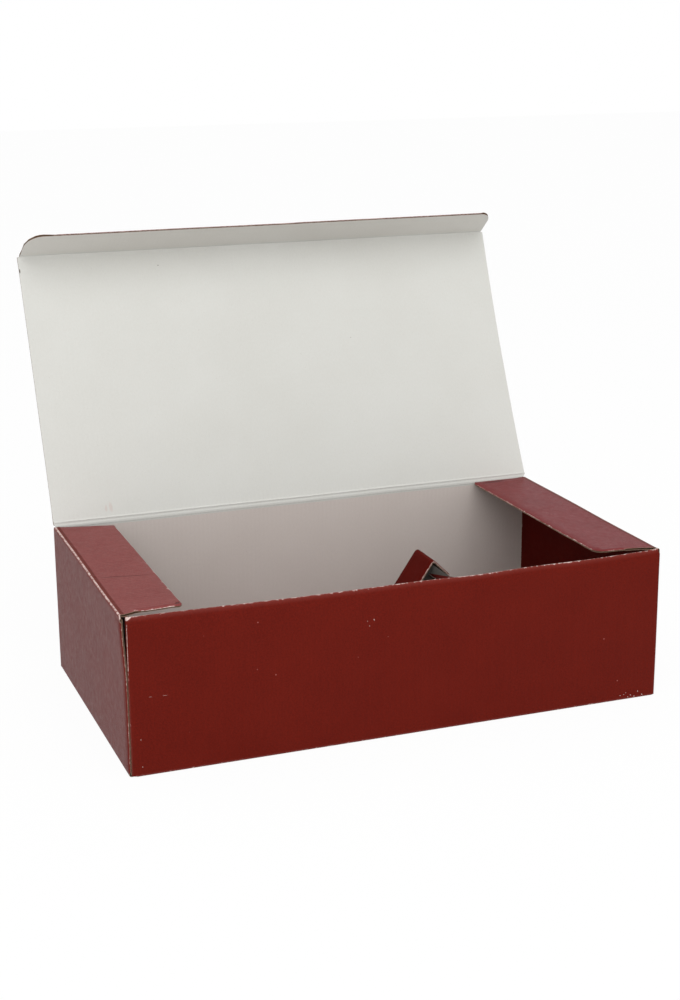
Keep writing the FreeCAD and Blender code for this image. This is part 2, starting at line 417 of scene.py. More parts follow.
def layBoard(outline, cutsU, cutsV, thickness, rounding=(), stretch=1.0):
    bm = bmesh.new()
    ring = bm.faces.layers.int.new("ring")
    face = bm.faces.new([bm.verts.new((u, v * stretch, 0)) for u, v in outline])
    corners = face.verts[:]
    for index, radius in rounding:
        bmesh.ops.bevel(bm, geom=[corners[index]], offset=radius, offset_type="OFFSET",
                        segments=board["roundSteps"], profile=0.5, affect="VERTICES", material=-1)
    bmesh.ops.scale(bm, vec=(1, 1 / stretch, 1), verts=bm.verts[:])
    inner = bm.faces[:]
    for number, width in ((1, board["edgeRing"]), (2, board["coreInset"] - board["edgeRing"])):
        edge = bmesh.ops.inset_region(bm, faces=inner, thickness=width, depth=0.0, use_boundary=True,
                                      use_even_offset=True)["faces"]
        for strip in edge:
            strip[ring] = number
        inner = [f for f in bm.faces if f[ring] == 0]
    for normal, cuts in ((axisX, cutsU), (axisY, cutsV)):
        for cut in cuts:
            bmesh.ops.bisect_plane(bm, geom=bm.verts[:] + bm.edges[:] + bm.faces[:], dist=0.0005,
                                   plane_co=normal * cut, plane_no=normal)
    flat = bm.faces[:]
    core = [f for f in flat if f[ring] == 0]
    top = thickness / 2
    under = top - board["skin"]
    slabs = (
        (under, top, flat, printedFace, flutingFace, cutFace),
        (-top, -under, flat, flutingFace, paleFace, cutFace),
        (-under, under, core, shadeFace, shadeFace, shadeFace),
    )
    for low, high, faces, upper, lower, side in slabs:
        copied = bmesh.ops.duplicate(bm, geom=faces)["geom"]
        lowerFaces = [g for g in copied if isinstance(g, bmesh.types.BMFace)]
        lowerVerts = [g for g in copied if isinstance(g, bmesh.types.BMVert)]
        grown = bmesh.ops.extrude_face_region(bm, geom=lowerFaces, use_keep_orig=True)["geom"]
        upperVerts = [g for g in grown if isinstance(g, bmesh.types.BMVert)]
        bmesh.ops.translate(bm, vec=(0, 0, low), verts=lowerVerts)
        bmesh.ops.translate(bm, vec=(0, 0, high), verts=upperVerts)
        touched = {f for vert in lowerVerts + upperVerts for f in vert.link_faces}
        middle = (low + high) / 2
        for f in touched:
            f.normal_update()
            if abs(f.normal.z) < 0.5:
                f.material_index = side
            else:
                f.material_index = upper if f.calc_center_median().z > middle else lower
    bmesh.ops.delete(bm, geom=flat, context="FACES")
    return bm


def addFluting(bm, start, end, thickness):
    # The brown wave between the papers along a cut edge; start to end keeps the sheet on its left
    start, end = Vector(start), Vector(end)
    length = (end - start).length
    direction = (end - start) / length
    waves = length / board["flutePitch"]
    depth = board["coreInset"] - board["fluteInset"]
    steps = int(waves * board["fluteSteps"])
    made = bmesh.ops.create_grid(bm, x_segments=steps, y_segments=1, size=0.5)["verts"]
    swing = thickness / 2 - board["skin"] - board["mediumThickness"] / 2
    for vert in made:
        gone = (vert.co.x + 0.5) * length
        inward = board["fluteInset"] + (vert.co.y + 0.5) * depth
        wave = math.sin(2 * math.pi * gone / board["flutePitch"]) * swing
        place = start + direction * gone + Vector((-direction.y, direction.x)) * inward
        vert.co = Vector((place.x, place.y, wave))
    faces = list(dict.fromkeys(f for vert in made for f in vert.link_faces))
    thick = bmesh.ops.solidify(bm, geom=faces, thickness=board["mediumThickness"])["geom"]
    for face in {g for g in thick if isinstance(g, bmesh.types.BMFace)} | set(faces):
        face.material_index = flutingFace


def awayFrom(point, u1, v1, u2, v2):
    start = Vector((u1, v1))
    step = Vector((u2, v2)) - start
    share = max(0.0, min(1.0, (point - start).dot(step) / max(step.length_squared, 1e-9)))
    return (point - start - step * share).length


def arcEdges(center, radius, begin, end):
    # The cut edge round a corner, as short lines; angles in degrees
    steps = [math.radians(begin + (end - begin) * step / 4) for step in range(5)]
    places = [(center[0] + radius * math.cos(angle), center[1] + radius * math.sin(angle))
              for angle in steps]
    return [(*first, *second) for first, second in zip(places, places[1:])]


def wearAt(place, lines):
    # Lines are (u, v, u, v, strength, reach); the wear falls off with the distance to the nearest
    most = 0.0
    point = Vector((place.x, place.y))
    for u1, v1, u2, v2, strength, reach in lines:
        away = awayFrom(point, u1, v1, u2, v2)
        most = max(most, strength * math.exp(-(away / reach) ** 2))
    return most


def crushed(place, cutEdges, rounded, thickness):
    # The cutting die presses the printed paper down towards the inner one along a cut edge,
    # and handling rounds the edges in rounded further
    if not cutEdges:
        return place.z
    away = min(awayFrom(Vector((place.x, place.y)), *edge) for edge in cutEdges)
    near = max(0.0, 1.0 - away / board["coreInset"])
    lost = board["crush"] * near ** board["crushPower"]
    for u1, v1, u2, v2, depth, width in rounded:
        away = awayFrom(Vector((place.x, place.y)), u1, v1, u2, v2)
        lost = max(lost, depth * max(0.0, 1.0 - away / width) ** 2)
    return -thickness / 2 + (place.z + thickness / 2) * (1.0 - lost)


uneven = {
    "seed": 5,
    "amount": 0.22,  # slow waves in all the board
    "size": 70.0,
    "footHeights": (2.0, 40.0),  # the waves grow between these heights, up and down
    "footSides": (2.0, 25.0),  # and sideways
    # Dips in the front wall's top edge as (depth, x, width); the last one is a raised corner
    "sags": ((1.1, 128.0, 40.0), (1.6, -40.0, 120.0), (1.0, 50.0, 28.0), (-0.7, 183.5, 4.0)),
    "sagHeights": (40.0, 105.0),
    "lean": 1.9,  # the left end wall stands out at its top, towards the front
    "leanDepths": (-100.0, 100.0),
    "leanWidths": (110.0, 184.0),
    "backRise": 0.6,  # the end walls are taller towards the back
    "riseDepths": (-60.0, 100.0),
    "endHeights": (60.0, 104.0),  # lean and rise start above the glue
}
# Without a seed the waves would differ from run to run
noise.seed_set(uneven["seed"])


def smoothstep(low, high, value):
    share = max(0.0, min(1.0, (value - low) / (high - low)))
    return share * share * (3 - 2 * share)


def unevenness(point):
    drift = noise.noise_vector(point / uneven["size"]) * uneven["amount"]
    drift.z *= smoothstep(*uneven["footHeights"], point.z)
    drift.xy *= smoothstep(*uneven["footSides"], point.z)
    if point.y < -sideY + 4 * half:
        dip = sum(depth * math.exp(-((point.x - x) / width) ** 2) for depth, x, width in uneven["sags"])
        drift.z -= dip * smoothstep(*uneven["sagHeights"], point.z)
    return drift


def endShift(flat, place):
    # How the end walls' tops and their flaps stand off the square box
    high = smoothstep(*uneven["endHeights"], place.z)
    rise = uneven["backRise"] * smoothstep(*uneven["riseDepths"], place.y) * high
    forward = smoothstep(*uneven["leanDepths"], -place.y)
    lean = uneven["lean"] * forward * smoothstep(*uneven["leanWidths"], -place.x) * high
    return axisZ * rise - axisX * lean


def finishBoard(name, bm, placing, wearLines, cutEdges, extra=None, rounded=()):
    number = pieceNumbers[name]
    inside = number >= pieceNumbers["linerSheet"]
    thickness = board["insertThickness"] if inside else board["thickness"]
    materials = insertMaterials if inside else boardMaterials
    sheetLayer = bm.verts.layers.float_vector.new("sheet")
    wearLayer = bm.verts.layers.float.new("wear")
    for vert in bm.verts:
        vert[sheetLayer] = vert.co + axisZ * (board["pieceStep"] * number)
        vert[wearLayer] = wearAt(vert.co, wearLines)
        place = placing(vert.co.x, vert.co.y, crushed(vert.co, cutEdges, rounded, thickness))
        if extra:
            place += extra(vert.co, place)
        vert.co = place + unevenness(place)
    bmesh.ops.recalc_face_normals(bm, faces=bm.faces[:])
    bmesh.ops.scale(bm, vec=(toMetres,) * 3, verts=bm.verts[:])
    for face in bm.faces:
        face.smooth = True
    for edge in bm.edges:
        if len(edge.link_faces) == 2:
            edge.smooth = edge.calc_face_angle(0.0) < math.radians(board["sharpAngle"])
    mesh = bpy.data.meshes.new(name)
    bm.to_mesh(mesh)
    bm.free()
    for index, material in enumerate(materials):
        mesh.materials.append(pieceMaterials.get(name, {}).get(index, material))
    piece = bpy.data.objects.new(name, mesh)
    bpy.context.scene.collection.objects.link(piece)
    return piece


# The box: four walls round the corner folds, the glued corner, and the bottom flaps

walls = {
    "bendRadius": 1.7,  # where the front wall turns in behind the end wall's raw edge
    "rawEdge": -100.4,
    "glueFlapWidth": 32.0,
    "glueFlapTop": 65.6,
    "glueFlapSlant": 6.0,
    "seam": 0.35,  # half the slit between the long bottom flaps
    "shortFlapEnd": 140.0,
    "stepFoot": 3.5,  # the short bottom flaps step up onto the long ones
    "stepTop": 6.5,
    "stepRadius": 3.0,
    "footRise": 0.9,  # bottom of the board in the corners
    "cornerGap": 0.35,  # each side of the slits between the bottom flaps
    "frontTop": 105.3,
    "backTop": 103.3,
    "endTop": 102.0,
    "cornerRise": 0.6,  # of the end wall at the front right corner
    "flapShoulder": 1.0,  # where the glue flap starts, past its bend
    "bottomGrid": 25.0,
    "wearCuts": (2.3, 3.4, 6.5),  # extra cuts keep the wear on the folds narrow
    "edgeCuts": (2.0, 3.2),
    "foldCut": 0.5,
}
glueX = endX - board["thickness"]
wallLine = foldLine([
    (-endX, walls["rawEdge"]),
    (-endX, sideY, board["foldRadius"]),
    (endX, sideY, board["foldRadius"]),
    (endX, -sideY, board["foldRadius"]),
    (-glueX, -sideY, walls["bendRadius"]),
    (-glueX, -sideY + walls["bendRadius"] + walls["glueFlapWidth"]),
])
longProfile = foldLine([
    (sideY - walls["seam"], half),
    (0, half, board["foldRadius"]),
    (0, walls["frontTop"]),
])
shortProfile = foldLine([
    (endX - walls["shortFlapEnd"], 3 * half),
    (walls["stepTop"], 3 * half, walls["stepRadius"]),
    (walls["stepFoot"], half, walls["stepRadius"]),
    (0, half, board["foldRadius"]),
    (0, walls["frontTop"]),
])
longStart = walls["frontTop"] - lineLength(longProfile)
shortStart = walls["frontTop"] - lineLength(shortProfile)
wallBends = [(part[1], part[1] + part[2]) for part in wallLine if part[0] == "bend"]


def wallPlace(u, v, w):
    base = onLine(wallLine, u, 0)
    outward = onLine(wallLine, u, 1) - base
    onEnd = u < wallBends[0][0] or wallBends[1][1] < u < wallBends[2][0]
    inBend = any(low - 0.01 <= u <= high + 0.01 for low, high in wallBends)
    if inBend:
        inward, height = -w, v
    elif onEnd:
        inward, height = onLine(shortProfile, v - shortStart, w)
    else:
        inward, height = onLine(longProfile, v - longStart, w)
    point = base - outward * inward
    return Vector((point.x, point.y, height))


def wallOutline():
    gap, foot, slant = walls["cornerGap"], walls["footRise"], walls["glueFlapSlant"]
    front, back, side = walls["frontTop"], walls["backTop"], walls["endTop"]
    first, second, third, fourth = wallBends
    wallEnd = lineLength(wallLine)
    # The bottom flaps in turn: each hangs between the slits at its corners
    flaps = ((gap, first[0] - gap, shortStart), (first[1] + gap, second[0] - gap, longStart),
             (second[1] + gap, third[0] - gap, shortStart), (third[1] + gap, fourth[0] - gap, longStart))
    outline = [(0.0, foot)]
    for low, high, reachDown in flaps:
        outline += [(low, foot), (low, reachDown), (high, reachDown), (high, foot)]
    shoulder = fourth[1] + walls["flapShoulder"]
    outline += [
        (fourth[1], foot), (fourth[1], 4 * half), (wallEnd, 4 * half + slant),
        (wallEnd, walls["glueFlapTop"] - slant), (shoulder, walls["glueFlapTop"]), (shoulder, front),
        (third[1], front), (third[1], side + walls["cornerRise"]), (third[0], side),
        (second[1], side), (second[1], back), (first[0], back), (first[0], side), (0.0, side),
    ]
    return outline


def makeWalls():
    first, second, third, fourth = wallBends
    top = walls["frontTop"]
    cutsU = bendCuts(wallLine)
    spans = [0.0] + [value for pair in wallBends for value in pair] + [lineLength(wallLine)]
    for low, high in zip(spans[::2], spans[1::2]):
        cutsU += evenCuts(low, high, board["grid"])
    cutsV = [cut + longStart for cut in bendCuts(longProfile)]
    cutsV += [cut + shortStart for cut in bendCuts(shortProfile)]
    cutsV += evenCuts(longStart, 0.0, walls["bottomGrid"]) + evenCuts(3.0, top, board["grid"])
    beside = walls["foldCut"]
    cutsU += [bend[0] - beside for bend in wallBends] + [bend[1] + beside for bend in wallBends]
    cutsV += [*walls["wearCuts"], *(top - down for down in walls["edgeCuts"])]
    bm = layBoard(wallOutline(), cutsU, cutsV, board["thickness"])
    addFluting(bm, (fourth[0], top), (third[1], top), board["thickness"])
    bend = (fourth[0] + fourth[1]) / 2
    wearLines = [
        # This wide, weak line lightens the ink along the front wall's rounded top edge: painted sheen
        (third[1], top, fourth[0], top, 0.24, 2.4),
        (third[1], top, fourth[0], top, 0.43, 0.8),
        (third[1] + 58, top, third[1] + 85, top, 0.50, 0.8),
        (third[1] + 105, top, third[1] + 150, top, 0.46, 0.8),
        (bend + 0.5, top - 5.5, bend + 0.5, top - 36, 0.60, 0.28),
        (bend + 0.5, top - 36, bend + 0.5, 0, 0.34, 0.35),
        (bend - 0.6, top, bend + 0.6, top - 1.2, 1.0, 1.3),
        (third[0], top, third[1], top, 0.56, 1.2),
        (third[0] + 0.6, 60, third[0] + 0.6, 0, 0.36, 0.5),
        (third[1], 1.2, fourth[0], 1.2, 0.35, 0.5),
        (0, 1.2, first[0], 1.2, 0.34, 0.5),
        (second[1], 1.2, third[0], 1.2, 0.36, 0.5),
        (first[0], 1.2, second[1], 1.2, 0.36, 0.5),
        (0, walls["endTop"], 0, 0, 0.44, 0.4),
    ]
    cutEdges = [
        (third[1] + 3, top, fourth[1], top),
        (0, walls["endTop"], 0, 3.0),
    ]
    rounded = [(third[1], top, fourth[0], top, 0.95, 4.5)]

    def shift(flat, place):
        onEnd = flat.x < first[0] or second[1] < flat.x < third[0]
        return endShift(flat, place) if onEnd else Vector((0, 0, 0))

    return finishBoard("boxWalls", bm, wallPlace, wearLines, cutEdges, shift, rounded)


def frontU(x):
    # Where the front wall's x lies on the flat sheet
    return wallBends[2][1] + endX - board["foldRadius"] - x


pieceNumbers = {
    "boxWalls": 1, "lidPanel": 2, "tuckPanel": 3, "dustPanelLeft": 4, "dustPanelRight": 5,
    "creaseLid": 6, "creaseTuck": 6, "creaseDustLeft": 6, "creaseDustRight": 6,
    "linerSheet": 7, "dividerStrip": 8, "dividerCheek": 8,
}
printedLook = {
    "patchScale": 0.035,
    "patchShare": 0.72,
    "streakScale": (0.45, 0.012, 0.0),
    "streakShare": 0.28,
    "mottleScale": 0.8,
    "mottle": 0.22,
    # Lighter ink along the wear lines: partly rubbed ink, partly painted sheen on the rounded edges
    "rubAndSheen": 0.40,  # lighter ink beside the worn edges
    "rubAndSheenWear": (0.04, 0.60),
    "markStrength": 0.75,
    "speckScale": 0.09,
    "speckRarity": 0.80,
    "speckRim": (0.050, 0.025),
    "linenPitch": 0.95,
    "linen": 0.022,
    "washboard": 0.012,
    "toothScale": 1.6,
    "tooth": 0.07,
    "glossScale": 0.25,
    "roughness": (0.36, 0.45),
    "bareRoughness": 0.3,
    "dentShade": 0.55,
    "dentDepth": 0.7,
    "ior": 1.16,
    "marks": [
        (1, frontU(-23.0), 83.7, 0.8, 0.35, 70), (1, frontU(-26.1), 79.8, 0.35, 0.3, 0),
        (1, frontU(-27.5), 83.3, 0.3, 0.3, 0), (1, frontU(-177.2), 24.7, 0.4, 0.3, 90),
        (1, frontU(-176.8), 6.6, 0.4, 0.3, 90), (1, frontU(-170.2), 52.0, 1.2, 0.10, 3),
        (1, frontU(-161.0), 51.6, 1.9, 0.10, 3),
        (1, frontU(158.0), 3.7, 0.5, 0.3, 20), (1, frontU(160.7), 4.1, 0.5, 0.25, 0),
        (1, frontU(164.0), 1.9, 0.5, 0.3, 60), (1, frontU(166.0), 3.0, 0.7, 0.35, 30),
        (1, frontU(168.8), 1.8, 0.6, 0.4, 0), (1, frontU(171.5), 5.0, 0.8, 0.3, 80),
        (1, frontU(174.9), 2.2, 0.7, 0.45, 50), (1, frontU(162.3), 5.2, 0.4, 0.25, 0),
        (4, -4.5, 39.8, 1.3, 1.0, 0), (4, -22.8, 39.8, 1.6, 1.0, 0), (4, -44.8, 39.7, 1.5, 1.2, 0),
        (4, -59.1, 39.6, 2.4, 1.3, 0), (5, 14.7, 43.2, 1.0, 0.9, 0), (5, -23.0, 42.8, 1.0, 0.8, 0),
        (5, -60.0, 42.4, 1.2, 0.9, 0),
    ],
    # Dents and creases: a shallow bump, and painted shade along them
    "dents": [
        (4, -25.0, 20.0, 19.0, 0.50, 101),
        (4, -88.5, 37.5, 3.2, 1.3, 45), (5, 94.0, 30.0, 12.0, 1.6, 96),
    ],
}
insertLook = dict(printedLook, linen=0.006, roughness=(0.51, 0.60), ior=1.10, mottle=0.10,
                  marks=[], dents=[])
paleLook = {
    "fibreScale": (1.1, 0.45, 0.0),
    "fibreShare": 0.6,
    "patchScale": 0.02,
    "patchShare": 0.4,
    "fleckScale": 1.4,
    "fleckRim": (0.72, 0.78),
    "fleckStrength": 0.25,
    "stainStrength": 0.4,
    "washboard": 0.013,
    "toothScale": 1.3,
    "tooth": 0.05,
    "roughness": 0.75,
    "ior": 1.35,
    "stains": [(2, -142.5, 9.0, 4.5, 1.6, 95), (2, -146.0, 8.5, 3.0, 1.2, 88)],
    "specks": [
        (2, -82.0, 185.7, 0.5, 0.4, 0), (2, -184.3, 187.1, 2.0, 0.5, 90), (2, 60.0, 120.0, 0.3, 0.3, 0),
    ],
}


def makeInk(name, look):
    return printedMaterial(name + "Ink", palette[name + "Ink"], palette[name + "Deep"], look)


def makePaper(name):
    return paleMaterial(name + "Paper", palette[name + "Paper"], palette[name + "Fibre"], paleLook)


cutMaterials = [
    cutMaterial("cutPaper", palette["paperEdge"], palette["kraft"], 0.9),
    cutMaterial("brownFluting", palette["kraft"], palette["kraftDark"], 0.5),
    # shadedFluting paints the core dark: painted shade between the flutes
    cutMaterial("shadedFluting", palette["kraftDark"], palette["kraft"], 0.35),
]
boardMaterials = [makeInk("printed", printedLook), makePaper("liner"), *cutMaterials]
# The inner board's dark reverse paper is painted shade
insertMaterials = [makeInk("insert", insertLook), makePaper("insert"), *cutMaterials]
pieceMaterials = {
    # The walls' inside takes the warmer paper: painted tint of the shade there
    "boxWalls": {paleFace: makePaper("wall")},
    # The tuck flap takes the lighter paper: painted light
    "tuckPanel": {paleFace: makePaper("tuck")},
    # The flap tops take the lighter flap inks: painted sheen
    "dustPanelLeft": {printedFace: makeInk("leftFlap", printedLook)},
    "dustPanelRight": {printedFace: makeInk("rightFlap", printedLook)},
    # The cheek takes the dark paper: painted shade
    "dividerCheek": {paleFace: makePaper("cheek")},
}
print("materials made")


boxWalls = makeWalls()
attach(boxWalls, "box")
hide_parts("box_body")
print("walls and bottom folded")


# Lid, tuck flap and dust flaps: each a flat panel, and a crease strip bent along its fold

reach = board["creaseReach"]
lidPart = {
    "tuckHalf": 183.0,
    "tuckDepth": 36.5,
    "tuckCorner": (12.0, 18.0),
    "tuckNicks": (9.0, 43.0, 78.0),
    "nickHalf": 1.5,
    "tuckStep": 0.45,  # the free edge steps a little where the cutting die was joined
    "tuckStepAt": (19.0, 22.0),
    "tuckStepReach": 9.0,
    "tuckStepBack": 0.25,
    "tuckRightCorner": 9.0,
    "tuckRightSlant": 5.0,
    "hollowSide": 1.5,  # the right edge curves in between its corners
    "room": 0.4,  # stands off the dust flaps once closed
}
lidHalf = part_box("lid")[1].x / toMetres


def makePanel(name, outline, placing, wearLines, flutes, cutEdges, rounding=(), stretch=1.0, extra=None):
    low = [min(point[axis] for point in outline) for axis in (0, 1)]
    high = [max(point[axis] for point in outline) for axis in (0, 1)]
    cutsU = evenCuts(low[0], high[0], board["grid"])
    cutsV = evenCuts(low[1], high[1], board["grid"])
    bm = layBoard(outline, cutsU, cutsV, board["thickness"], rounding, stretch)
    for start, end in flutes:
        addFluting(bm, start, end, board["thickness"])
    return finishBoard(name, bm, placing, wearLines, cutEdges, extra)


def lidPlace(u, v, w):
    return lidAxis + axisX * u + lidDirection * v + lidNormal * (w + lidPart["room"])


def tuckPlace(u, v, w):
    return tuckAxis + axisX * u + tuckDirection * v + tuckNormal * w


def makeLid():
    far = lidDepth - reach
    hollow = lidPart["hollowSide"]
    right = [(lidHalf - hollow * math.sin(math.pi * step / 8) ** 0.8, reach + (far - reach) * step / 8)
             for step in range(9)]
    outline = [(-lidHalf, reach), *right, (-lidHalf, far)]
    wearLines = [
        (-lidHalf, reach, -lidHalf, far, 0.42, 0.8),
        (lidHalf - hollow, reach, lidHalf - hollow, far, 0.42, 1.4),
        (-lidHalf, far, lidHalf, far, 0.34, 1.0),
    ]
    cutEdges = [(-lidHalf, reach + 2, -lidHalf, far - 2)]
    cutEdges += [(*start, *end) for start, end in zip(right, right[1:])]
    return makePanel("lidPanel", outline, lidPlace, wearLines, [], cutEdges)


def makeTuck():
    wide, deep = lidPart["tuckHalf"], lidPart["tuckDepth"]
    across, along = lidPart["tuckCorner"]
    slant = lidPart["tuckRightSlant"]
    outline = [(-wide, reach), (wide, reach), (wide - slant, deep), (-wide, deep)]
    wearLines = [(-wide, deep, wide, deep, 0.50, 0.7)]
    nick = lidPart["nickHalf"]
    wearLines += [(x - nick, deep, x + nick, deep, 0.9, 0.7) for x in lidPart["tuckNicks"]]
    flutes = [((wide - along, deep), (-wide + along, deep))]
    roundX, roundY = -wide + along * 0.3, deep - 3.5
    cutEdges = [
        (wide - slant - 8, deep, -wide + along, deep),
        (-wide, reach + 2, -wide, deep - across),
        (wide, reach + 2, wide - slant, deep - 8),
        (-wide, deep - across, roundX, roundY),
        (roundX, roundY, -wide + along, deep),
    ]
    rounding = [(2, lidPart["tuckRightCorner"]), (3, across)]

    def step(flat, place):
        stepped = smoothstep(*lidPart["tuckStepAt"], flat.x)
        stepped *= smoothstep(deep - lidPart["tuckStepReach"], deep, flat.y)
        return tuckDirection * (lidPart["tuckStep"] * stepped - lidPart["tuckStepBack"])

    return makePanel("tuckPanel", outline, tuckPlace, wearLines, flutes, cutEdges, rounding,
                     across / along, step)


lidPanel = makeLid()
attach(lidPanel, "lid")
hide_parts("lid")
tuckPanel = makeTuck()
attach(tuckPanel, "tuck_flap")
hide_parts("tuck_flap")
print("lid and tuck flap made")

leftFlap = {
    "front": -92.8,
    "back": 99.4,
    "length": 41.0,
    "taper": 9.6,
    "frontCorner": 5.5,
    "backCorner": 1.5,
    "heel": 3.5,  # wider towards the front beside the crease
    "heelLength": 15.0,
    "lift": 0.5,  # the torn front edge stands up a little
    "ragged": 0.35,
    "frontWear": 0.54,
    "frontShort": 0.0,  # the free edge runs in towards the front
    "bentCorner": 0.8,
}
rightFlap = {
    "front": -91.8,
    "back": 99.4,
    "length": 45.0,
    "taper": 0.0,
    "frontCorner": 8.0,
    "backCorner": 3.0,
    "heel": 5.0,
    "heelLength": 22.0,
    "lift": 0.35,
    "ragged": 0.2,
    "frontWear": 0.42,
    "frontShort": 2.2,
    "bentCorner": 0.0,
}


flapWaves = {
    "frontReach": 14.0,  # how far the raised front edge goes in
    "rippleSize": 4.2,
    "raggedSize": 5.0,
    "freeReach": 6.0,
    "bentReach": 5.0,
}


def makeDustFlap(name, flap, side):
    # u runs along y, v from the crease towards the middle of the box
    free = flap["length"] - half
    front, back, corner = flap["front"], flap["back"], flap["frontCorner"]
    frontFree = free - flap["frontShort"]
    outline = [(front - flap["heel"], reach), (back - flap["taper"] * reach / free, reach),
               (back - flap["taper"], free), (front, frontFree), (front, flap["heelLength"])]
    wearLines = [
        (back - flap["taper"], free, front + corner, frontFree, 0.46, 0.6),
        (front, reach, front, frontFree - corner, flap["frontWear"], 0.7),
        (back, reach, back - flap["taper"], free, 0.44, 0.7),
    ]
    cutEdges = [
        (front, flap["heelLength"], front, frontFree - corner),
        (front + corner, frontFree, back - flap["taper"], free),
        (back - flap["taper"], free, back - flap["taper"] * 0.2, 8.0),
    ]
    cutEdges += arcEdges((front + corner, frontFree - corner), corner, 90.0, 180.0)
    flutes = [((back - flap["taper"] - flap["backCorner"], free), (front + corner, frontFree))]

    def placing(u, v, w):
        return Vector((side * (endX - v), u, flapZ + w))

    def wave(flat, place):
        inFrom, size, bend = flapWaves["frontReach"], flapWaves["raggedSize"], flapWaves["bentReach"]
        nearFront = 1.0 - smoothstep(front, front + inFrom, flat.x)
        nearFront *= smoothstep(reach, inFrom, flat.y)
        ripples = 0.5 + 0.5 * math.sin(flat.y / flapWaves["rippleSize"])
        ragged = noise.noise(Vector((flat.x / size, flat.y / size, side))) * flap["ragged"]
        nearFree = smoothstep(free - flapWaves["freeReach"], free, flat.y)
        bent = smoothstep(free - bend, free, flat.y) * (1.0 - smoothstep(front, front + bend, flat.x))
        lift = flap["lift"] * nearFront * ripples - flap["bentCorner"] * bent
        moved = axisZ * lift + axisX * (side * nearFree * ragged) + axisY * (nearFront * ragged)
        return moved + endShift(flat, place)

    rounding = [(2, flap["backCorner"]), (3, flap["frontCorner"])]
    return makePanel(name, outline, placing, wearLines, flutes, cutEdges, rounding, extra=wave)


dustPanelLeft = makeDustFlap("dustPanelLeft", leftFlap, -1)
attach(dustPanelLeft, "dust_flap_left")
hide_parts("dust_flap_left")
dustPanelRight = makeDustFlap("dustPanelRight", rightFlap, 1)
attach(dustPanelRight, "dust_flap_right")
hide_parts("dust_flap_right")
print("dust flaps made")


creases = {
    "lidRadius": 2.0,
    "tuckRadius": 0.9,
    "step": 0.45,  # cuts across the bend
    "bead": 0.45,  # ridges inside the lid's crease, as (place, width, share)
    "ridges": ((1.7, 0.55, 1.0), (0.4, 0.5, -0.7), (-1.6, 0.4, 0.35)),
    "shoulderDrop": 0.2,  # where a dust flap's crease narrows from the wall to the flap
    "shoulderRise": 0.5,
    "lidShoulder": 0.6,
    "blendReach": 1.7,  # either side of the axis
}


def makeCrease(name, line, axes, outline, wearLines, relief=None, extra=None):
    total = lineLength(line)
    low = min(point[0] for point in outline)
    high = max(point[0] for point in outline)
    cutsV = evenCuts(0.0, total, creases["step"])
    bm = layBoard(outline, evenCuts(low, high, board["grid"]), cutsV, board["thickness"])

    def placing(u, v, w):
        if relief and w < 0:
            w -= relief(v)
        point = onLine(line, v, w)
        return axes[0] * point.x + axes[1] * point.y + axes[2] * u

    return finishBoard(name, bm, placing, wearLines, (), extra)


def creaseBlend(piece):
    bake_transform(piece)


def makeDustCrease(name, flap, side):
    foot = walls["endTop"]
    line = foldLine([(-endX, foot), (-endX, flapZ, board["foldRadius"]), (-endX + reach, flapZ)])
    total = lineLength(line)
    shoulder = flapZ - foot - creases["shoulderDrop"]
    narrow = shoulder + creases["shoulderRise"]
    wallFront = walls["rawEdge"] if side < 0 else -sideY + board["foldRadius"]
    wallBack = sideY - board["foldRadius"]
    front, back = flap["front"] - flap["heel"], flap["back"] - flap["taper"] * 0.04
    outline = [(wallFront, 0), (wallBack, 0), (wallBack, shoulder), (back, narrow), (back, total),
               (front, total), (front, narrow), (wallFront, shoulder)]
    strength, width = (0.57, 0.55) if side < 0 else (0.44, 0.4)
    wearLines = [
        (front, shoulder + 0.3, back, shoulder + 0.3, strength, width),
        (wallFront, shoulder, front, shoulder, 0.6, 1.0),
    ]

    piece = makeCrease(name, line, (axisX * -side, axisZ, axisY), outline, wearLines, extra=endShift)
    creaseBlend(piece)
    return piece


def makeLidCrease():
    foot = walls["backTop"]
    upper = lidAxis + lidDirection * reach + lidNormal * lidPart["room"]
    line = foldLine([(-sideY, foot), (-sideY, lidAxis.z, creases["lidRadius"]), (-upper.y, upper.z)])
    total = lineLength(line)
    bend = lidAxis.z - foot
    wallHalf = endX - board["foldRadius"]
    below, above = bend - creases["lidShoulder"], bend + creases["lidShoulder"]
    outline = [(-wallHalf, 0), (wallHalf, 0), (wallHalf, below), (lidHalf, above), (lidHalf, total),
               (-lidHalf, total), (-lidHalf, above), (-wallHalf, below)]
    wearLines = [(-wallHalf, bend, wallHalf, bend, 0.40, 0.8)]

    def bead(v):
        ridges = creases["ridges"]
        high = sum(share * math.exp(-((v - bend - at) / width) ** 2) for at, width, share in ridges)
        return creases["bead"] * high

    piece = makeCrease("creaseLid", line, (-axisY, axisZ, axisX), outline, wearLines, bead)
    creaseBlend(piece)
    return piece


def makeTuckCrease():
    before = tuckAxis - lidDirection * reach + lidNormal * lidPart["room"]
    after = tuckAxis + tuckDirection * reach
    corner = (-tuckAxis.y, tuckAxis.z, creases["tuckRadius"])
    line = foldLine([(-before.y, before.z), corner, (-after.y, after.z)])
    total = lineLength(line)
    wide = lidPart["tuckHalf"]
    outline = [(-lidHalf, 0), (lidHalf, 0), (lidHalf, reach - 1.0), (wide, reach - 0.4), (wide, total),
               (-wide, total), (-wide, reach - 0.4), (-lidHalf, reach - 1.0)]
    wearLines = [(-wide, reach - 0.2, wide, reach - 0.2, 0.44, 0.8)]
    piece = makeCrease("creaseTuck", line, (-axisY, axisZ, axisX), outline, wearLines)
    creaseBlend(piece)
    return piece


creaseDustLeft = makeDustCrease("creaseDustLeft", leftFlap, -1)
creaseDustRight = makeDustCrease("creaseDustRight", rightFlap, 1)
creaseLid = makeLidCrease()
creaseTuck = makeTuckCrease()
print("creases made")


# Inside: the liner sheet and the folded divider strip

